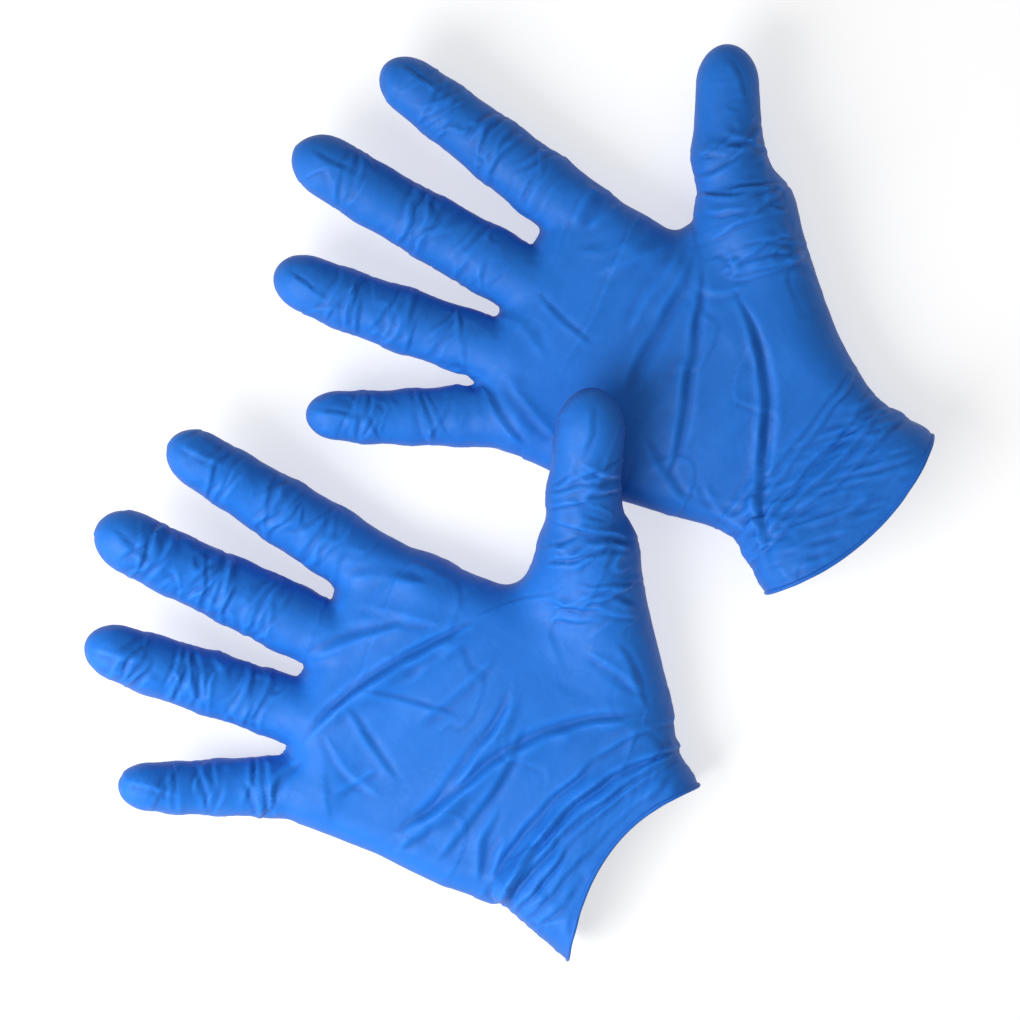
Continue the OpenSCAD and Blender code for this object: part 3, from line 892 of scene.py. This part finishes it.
def border_edges(net):
    q = net.quads
    edges = np.concatenate([q[:, [i, (i + 1) % 4]] for i in range(4)])
    key = np.sort(edges, axis=1)
    _, first, count = np.unique(key, axis=0, return_index=True, return_counts=True)
    return edges[first[count == 1]]


def border_points(net):
    return np.unique(border_edges(net))


# ---------------------------------------------------------------- dividing the skin

def segment_of(glove, centres):
    """Which piece each face belongs to: 0 palm, 1 cuff, then the digits' pieces in order."""
    piece = np.zeros(len(centres), int)
    along, _ = glove.cuff_coords(centres)
    piece[along > -WRIST_ZONE] = 1
    number = 2
    for g in glove.digits.values():
        parts = len(g.points) - 1
        reach = np.min([
            capsule(centres, g.points[k], g.points[k + 1], g.radii[k], g.radii[k + 1])
            for k in range(parts)
        ], axis=0)
        start, direction = root_zone(g)
        mine = (reach < OWN_REACH[g.name]) & ((centres - start) @ direction > 0)
        for k in range(parts):
            if k > 0:
                mine = mine & ((centres - cut_point(g, k)) @ g.ahead[k - 1] > 0)
            piece[mine] = number + k
        number += parts
    return piece


def cut_point(g, k):
    """The place where the skin is cut across the segment before joint k."""
    return g.points[k - 1] + CUT_SHARE[g.name] * (g.points[k] - g.points[k - 1])


def root_zone(g):
    """Start point and direction of the bend at a digit's knuckle."""
    if g.name == "thumb":
        flat = unit([g.ahead[0][0], g.ahead[0][1], 0])
        turn = math.radians(THUMB_ROOT_TURN)
        direction = np.array([
            flat[0] * math.cos(turn) - flat[1] * math.sin(turn),
            flat[0] * math.sin(turn) + flat[1] * math.cos(turn), 0,
        ])
    else:
        direction = g.ahead[0]
    return g.points[0] - direction * ROOT_ZONE[g.name], direction


def piece_names(glove):
    names = ["palm", "cuff"]
    for g in glove.digits.values():
        names += [n[len(glove.name) + 1:] for n in g.nodes]
    return names


CREST_DEPTH = 0.25      # height of a crest that takes the full painted highlight
CREST_ROUNDS = 6        # rounds of evening out that remove a crest
FORM_ROUNDS = 30        # rounds that leave only the digits' own roundness


def crests(net, normals):
    """How far each point stands out of the film round it: 1 on a crest, -1 in a valley."""
    even = net.points
    for _ in range(CREST_ROUNDS):
        even = net.neighbour_mean(even)
    out = ((net.points - even) * normals).sum(1)
    usual = out
    for _ in range(FORM_ROUNDS):
        usual = net.neighbour_mean(usual)
    return np.clip((out - usual) / CREST_DEPTH, -1, 1)


def make_pieces(glove, net, material):
    """One closed piece of film for each part of the skin."""
    normals = net.normals()
    crest = crests(net, normals)
    centres = net.points[net.quads].mean(1)
    owner = segment_of(glove, centres)
    for number, part in enumerate(piece_names(glove)):
        quads = net.quads[owner == number]
        used = np.unique(quads)
        renumber = -np.ones(len(net.points), int)
        renumber[used] = np.arange(len(used))
        local = Net(net.points[used], renumber[quads])
        n = len(used)
        outer = net.points[used]
        inner = outer - FILM * normals[used]
        rim = border_edges(local)
        faces = np.concatenate([
            local.quads,
            local.quads[:, ::-1] + n,
            np.stack([rim[:, 1], rim[:, 0], rim[:, 0] + n, rim[:, 1] + n], 1),
        ])
        name = glove.name + "_" + part + "_film"
        mesh = bpy.data.meshes.new(name)
        mesh.from_pydata((np.concatenate([outer, inner]) * MM).tolist(), [], faces.tolist())
        mesh.polygons.foreach_set("use_smooth", [True] * len(mesh.polygons))
        mesh.normals_split_custom_set_from_vertices(
            np.concatenate([normals[used], -normals[used]]).tolist())
        mesh.materials.append(material)
        # the crest value drives the painted highlight on crests and the painted shade in valleys
        tone = mesh.attributes.new("crest", "FLOAT", "POINT")
        tone.data.foreach_set("value", np.tile(crest[used], 2).astype(np.float32))
        mesh.validate()
        obj = bpy.data.objects.new(name, mesh)
        bpy.context.scene.collection.objects.link(obj)
        attach(glove, obj, part)


def attach(glove, obj, part):
    """Hides the piece's CAD part; only the palm piece is made to follow its body, the others are baked
    in place.
    """
    body = glove.name + "_" + part
    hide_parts(body)
    if part == "palm":
        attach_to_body(obj, body)
        return
    if part == "cuff":
        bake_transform(obj)
        return
    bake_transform(obj)


# ---------------------------------------------------------------- cuff bead

BEAD_SIDES = 12
BEAD_SMOOTHING = 12     # rounds of evening out of the bead's line


def make_bead(glove, net, material):
    """The rolled edge: a round bead along the skin's border."""
    follow = {}
    for a, b in border_edges(net):
        follow[a] = b
    start = next(iter(follow))
    loop = [start]
    while follow[loop[-1]] != start:
        loop.append(follow[loop[-1]])
    line = net.points[loop]
    for _ in range(BEAD_SMOOTHING):
        line = (np.roll(line, 1, 0) + line + np.roll(line, -1, 0)) / 3
    tangent = np.roll(line, -1, 0) - np.roll(line, 1, 0)
    tangent /= np.linalg.norm(tangent, axis=1)[:, None]
    out = np.cross(tangent, glove.out)
    out /= np.linalg.norm(out, axis=1)[:, None]
    side = np.cross(tangent, out)
    rings = []
    for k in range(BEAD_SIDES):
        a = 2 * math.pi * k / BEAD_SIDES
        r = BEAD_R * (1 + 0.10 * noise(line, 5, 5))[:, None]
        rings.append(line + r * (math.cos(a) * out + math.sin(a) * side))
    points = np.stack(rings, 1).reshape(-1, 3)
    points[:, 2] = np.maximum(points[:, 2], FLOOR_GAP)
    n = len(line)
    i = np.arange(n)[:, None]
    k = np.arange(BEAD_SIDES)[None, :]
    after, beside = (i + 1) % n, (k + 1) % BEAD_SIDES
    quads = np.stack([
        i * BEAD_SIDES + k, i * BEAD_SIDES + beside,
        after * BEAD_SIDES + beside, after * BEAD_SIDES + k,
    ], -1).reshape(-1, 4)
    name = glove.name + "_cuff_rolled_bead"
    mesh = bpy.data.meshes.new(name)
    mesh.from_pydata((points * MM).tolist(), [], quads.tolist())
    mesh.polygons.foreach_set("use_smooth", [True] * len(mesh.polygons))
    mesh.materials.append(material)
    obj = bpy.data.objects.new(name, mesh)
    bpy.context.scene.collection.objects.link(obj)
    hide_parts(glove.name + "_cuff_bead")
    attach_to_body(obj, glove.name + "_cuff")


# ---------------------------------------------------------------- materials

FILM_COLOR = (0.009, 0.142, 0.56)
# the second colour of each pair is painted shade, laid where the film is seen edge-on and in its
# valleys
FILM_PAINTED_SHADE_COLOR = (0.004, 0.055, 0.29)
FILM_ROUGHNESS = 0.54
BEAD_COLOR = (0.010, 0.130, 0.54)
BEAD_PAINTED_SHADE_COLOR = (0.004, 0.055, 0.29)
BEAD_ROUGHNESS = 0.48
CRINKLE_CELL = 7.5      # millimetres
CRINKLE_DRIFT = 9.0


def film_material(name, color, painted_shade_color, roughness):
    """Satin nitrile: uneven tone, painted shade where seen edge-on, painted highlight on crests (also
    the paler stretched film), painted shade in valleys, fine grain and crinkles.
    """
    mat = bpy.data.materials.new(name)
    mat.use_nodes = True
    nodes, links = mat.node_tree.nodes, mat.node_tree.links
    bsdf = nodes["Principled BSDF"]
    place = nodes.new("ShaderNodeTexCoord").outputs["Object"]

    def texture(size_mm, detail, distortion=0.0):
        node = nodes.new("ShaderNodeTexNoise")
        node.inputs["Scale"].default_value = 1000.0 / size_mm
        node.inputs["Detail"].default_value = detail
        node.inputs["Distortion"].default_value = distortion
        links.new(place, node.inputs["Vector"])
        return node.outputs["Fac"]

    def ranged(value, lo, hi, to_lo, to_hi):
        node = nodes.new("ShaderNodeMapRange")
        limits = {"From Min": lo, "From Max": hi, "To Min": to_lo, "To Max": to_hi}
        for socket, number in limits.items():
            node.inputs[socket].default_value = number
        links.new(value, node.inputs["Value"])
        return node.outputs["Result"]

    def mixed(factor, a, b):
        node = nodes.new("ShaderNodeMix")
        node.data_type = "RGBA"
        links.new(factor, node.inputs["Factor"])
        for socket, value in ((node.inputs[6], a), (node.inputs[7], b)):
            if isinstance(value, tuple):
                socket.default_value = (*value, 1)
            else:
                links.new(value, socket)
        return node.outputs[2]

    def shade(factor):
        return tuple(min(1.0, c * factor) for c in color)

    clouds = ranged(texture(26, 3), 0.3, 0.7, 0, 1)
    specks = ranged(texture(1.6, 4), 0.35, 0.7, 0, 1)
    base = mixed(clouds, shade(0.92), shade(1.07))
    speckled = mixed(ranged(specks, 0, 1, 0, 0.22), base, shade(1.22))
    # painted shade: the colour darkens where the film is seen edge-on
    facing = nodes.new("ShaderNodeLayerWeight")
    facing.inputs["Blend"].default_value = 0.35
    rim = ranged(facing.outputs["Facing"], 0.25, 0.95, 0, 0.75)
    edge_shaded = mixed(rim, speckled, painted_shade_color)
    # painted highlight on the crests, standing also for the paler stretched film, and painted shade in
    # the valleys
    crest = nodes.new("ShaderNodeAttribute")
    crest.attribute_name = "crest"
    stretch_and_highlight = mixed(ranged(crest.outputs["Fac"], 0.15, 1.0, 0, 0.22), edge_shaded, shade(1.7))
    # painted shade in the valleys between folds
    valley_shaded = mixed(ranged(crest.outputs["Fac"], -1.0, -0.15, 0.34, 0), stretch_and_highlight, painted_shade_color)
    links.new(valley_shaded, bsdf.inputs["Base Color"])

    gloss = ranged(texture(5, 4, 0.6), 0.3, 0.7, roughness - 0.06, roughness + 0.08)
    links.new(gloss, bsdf.inputs["Roughness"])
    bsdf.inputs["Specular IOR Level"].default_value = 0.24
    bsdf.inputs["Sheen Weight"].default_value = 0.06
    bsdf.inputs["Sheen Roughness"].default_value = 0.45

    # crinkles run across small cells; grain is the film's dull, slightly rough surface
    cells = nodes.new("ShaderNodeTexVoronoi")
    cells.feature = "DISTANCE_TO_EDGE"
    cells.inputs["Scale"].default_value = 1000.0 / CRINKLE_CELL
    warp = nodes.new("ShaderNodeVectorMath")
    warp.operation = "ADD"
    drift = nodes.new("ShaderNodeTexNoise")
    drift.inputs["Scale"].default_value = 1000.0 / CRINKLE_DRIFT
    drift.inputs["Detail"].default_value = 2
    spread = nodes.new("ShaderNodeVectorMath")
    spread.operation = "SCALE"
    spread.inputs["Scale"].default_value = 0.006
    links.new(place, drift.inputs["Vector"])
    links.new(drift.outputs["Color"], spread.inputs[0])
    links.new(place, warp.inputs[0])
    links.new(spread.outputs["Vector"], warp.inputs[1])
    links.new(warp.outputs["Vector"], cells.inputs["Vector"])
    crinkle_height = ranged(cells.outputs["Distance"], 0.0, 0.16, 0, 1)
    previous = None
    for height, distance_mm, strength in (
        (crinkle_height, 0.08, 0.30), (texture(2.4, 3, 0.8), 0.05, 0.5), (texture(0.35, 2), 0.02, 0.5),
    ):
        bump = nodes.new("ShaderNodeBump")
        bump.inputs["Strength"].default_value = strength
        bump.inputs["Distance"].default_value = distance_mm * MM
        links.new(height, bump.inputs["Height"])
        if previous is not None:
            links.new(previous, bump.inputs["Normal"])
        previous = bump.outputs["Normal"]
    links.new(previous, bsdf.inputs["Normal"])
    return mat


# ---------------------------------------------------------------- stage, light and camera

FLOOR_HALF = 3.0                  # half the floor's width in metres
FLOOR_DROP = 0.0006               # how far under z = 0 the floor lies


def add_stage():
    """A plain pale floor."""
    corners = [(x * FLOOR_HALF, y * FLOOR_HALF, 0) for x, y in ((-1, -1), (1, -1), (1, 1), (-1, 1))]
    mesh = bpy.data.meshes.new("floor")
    mesh.from_pydata(corners, [], [(0, 1, 2, 3)])
    floor = bpy.data.objects.new("floor", mesh)
    bpy.context.scene.collection.objects.link(floor)
    floor.location.z = -FLOOR_DROP
    mat = bpy.data.materials.new("pale_floor")
    mat.use_nodes = True
    bsdf = mat.node_tree.nodes["Principled BSDF"]
    bsdf.inputs["Base Color"].default_value = (0.5, 0.5, 0.5, 1)
    bsdf.inputs["Roughness"].default_value = 0.95
    bsdf.inputs["Specular IOR Level"].default_value = 0.0
    bsdf.inputs["Emission Color"].default_value = (1, 1, 1, 1)
    bsdf.inputs["Emission Strength"].default_value = 0.6
    mesh.materials.append(mat)


VIEW_TILT = math.radians(32)      # the hands lie 32 degrees off the picture's horizontal
PICTURE_WIDTH = 0.3672            # metres across the picture at the gloves
PICTURE_CENTRE = (0.0085, -0.0111, 0.02)
SKY_LOW = 0.15                    # sky brightness at the horizon and overhead
SKY_HIGH = 0.57
KEY_WATTS = 5.4
KEY_SIZE = 0.5
KEY_PLACE = (-0.38, -0.30, 0.44)  # metres to the picture's right, to its top, and up


def view_axes():
    """The picture's right and up directions on the floor."""
    right = np.array([math.cos(VIEW_TILT), math.sin(VIEW_TILT), 0])
    up = np.array([-math.sin(VIEW_TILT), math.cos(VIEW_TILT), 0])
    return right, up


def add_camera():
    """A long lens straight above the gloves."""
    right, up = view_axes()
    data = bpy.data.cameras.new("camera")
    data.lens = 150
    data.sensor_width = 36
    distance = PICTURE_WIDTH * data.lens / data.sensor_width
    centre = np.array(PICTURE_CENTRE)
    obj = bpy.data.objects.new("camera", data)
    bpy.context.scene.collection.objects.link(obj)
    back = np.array([0, 0, 1.0])
    m = np.eye(4)
    m[:3, 0], m[:3, 1], m[:3, 2] = right, up, back
    m[:3, 3] = centre + back * distance
    obj.matrix_world = Matrix(m.tolist())
    bpy.context.scene.camera = obj


def add_lights():
    """A soft sky, brightest overhead, and one large soft lamp from the lower left."""
    world = bpy.data.worlds.new("studio")
    bpy.context.scene.world = world
    world.use_nodes = True
    nodes, links = world.node_tree.nodes, world.node_tree.links
    sight = nodes.new("ShaderNodeTexCoord")
    split = nodes.new("ShaderNodeSeparateXYZ")
    spread = nodes.new("ShaderNodeMapRange")
    spread.inputs["From Min"].default_value = 0.0
    spread.inputs["From Max"].default_value = 1.0
    spread.inputs["To Min"].default_value = SKY_LOW
    spread.inputs["To Max"].default_value = SKY_HIGH
    links.new(sight.outputs["Generated"], split.inputs["Vector"])
    links.new(split.outputs["Z"], spread.inputs["Value"])
    links.new(spread.outputs["Result"], nodes["Background"].inputs["Strength"])
    nodes["Background"].inputs["Color"].default_value = (1, 1, 1, 1)
    data = bpy.data.lights.new("key", "AREA")
    data.energy = KEY_WATTS
    data.size = KEY_SIZE
    obj = bpy.data.objects.new("key", data)
    bpy.context.scene.collection.objects.link(obj)
    right, up = view_axes()
    place = KEY_PLACE[0] * right + KEY_PLACE[1] * up + np.array([0, 0, KEY_PLACE[2]])
    obj.location = place
    obj.rotation_euler = Vector(-place).to_track_quat("-Z", "Y").to_euler()


# ---------------------------------------------------------------- the gloves

def build():
    bpy.context.scene.view_settings.view_transform = "Standard"
    film = film_material("nitrile_film", FILM_COLOR, FILM_PAINTED_SHADE_COLOR, FILM_ROUGHNESS)
    bead = film_material("nitrile_bead", BEAD_COLOR, BEAD_PAINTED_SHADE_COLOR, BEAD_ROUGHNESS)
    for name in ("upper", "lower"):
        glove = Glove(name)
        net = form_net(glove, VOXEL, 4)
        net = trim_cuff(glove, net)
        net = add_folds(glove, net)
        make_pieces(glove, net, film)
        make_bead(glove, net, bead)


build()
add_stage()
add_camera()
add_lights()
bpy.context.view_layer.update()
